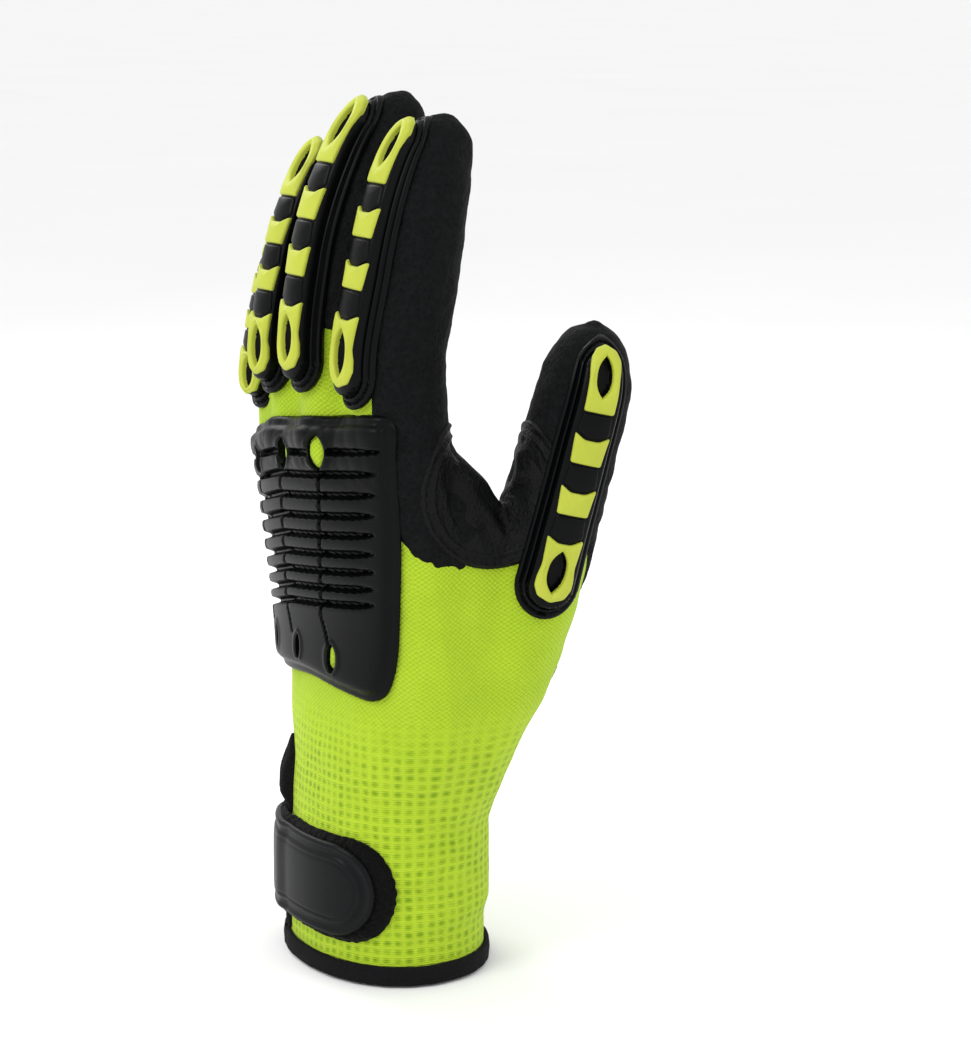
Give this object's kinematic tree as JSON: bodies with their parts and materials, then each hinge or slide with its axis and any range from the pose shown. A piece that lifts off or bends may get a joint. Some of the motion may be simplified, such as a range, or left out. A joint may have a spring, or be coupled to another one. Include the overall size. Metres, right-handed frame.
{
  "type": "impact glove",
  "caption": "Left-hand impact work glove: yellow-green knit with a black dipped palm, black rubber back guards with yellow inserts, a knuckle plate and a wrist strap.",
  "frame": {"origin": "centre of the cuff's opening at the hem, where the wrist goes in", "axes": "+Z from the hem to the fingertips, -Y to the back of the hand, +X to the thumb side"},
  "size_m": [0.1151, 0.0877, 0.2609],
  "materials": {
    "knit": "matte",
    "coating": "matte",
    "patch": "matte",
    "guard": "satin",
    "insert": "satin",
    "strap": "matte",
    "tab": "satin",
    "binding": "matte"
  },
  "bodies": {
    "root": {"knit_liner": "knit", "latex_coating": "coating", "thumb_crotch_patch": "patch", "knuckle_plate": "guard", "index_guard_base": "guard", "index_base_loop": "insert", "index_inner_band": "insert", "index_outer_band": "insert", "index_tip_loop": "insert", "middle_guard_base": "guard", "middle_base_loop": "insert", "middle_inner_band": "insert", "middle_outer_band": "insert", "middle_tip_loop": "insert", "ring_guard_base": "guard", "ring_base_loop": "insert", "ring_inner_band": "insert", "ring_outer_band": "insert", "ring_tip_loop": "insert", "little_guard_base": "guard", "little_base_loop": "insert", "little_inner_band": "insert", "little_outer_band": "insert", "little_tip_loop": "insert", "thumb_guard_base": "guard", "thumb_base_loop": "insert", "thumb_inner_band": "insert", "thumb_outer_band": "insert", "thumb_tip_loop": "insert", "strap_fuzzy": "strap", "strap_tab": "tab", "slit_binding": "binding", "hem_binding": "binding"}
  },
  "joints": []
}
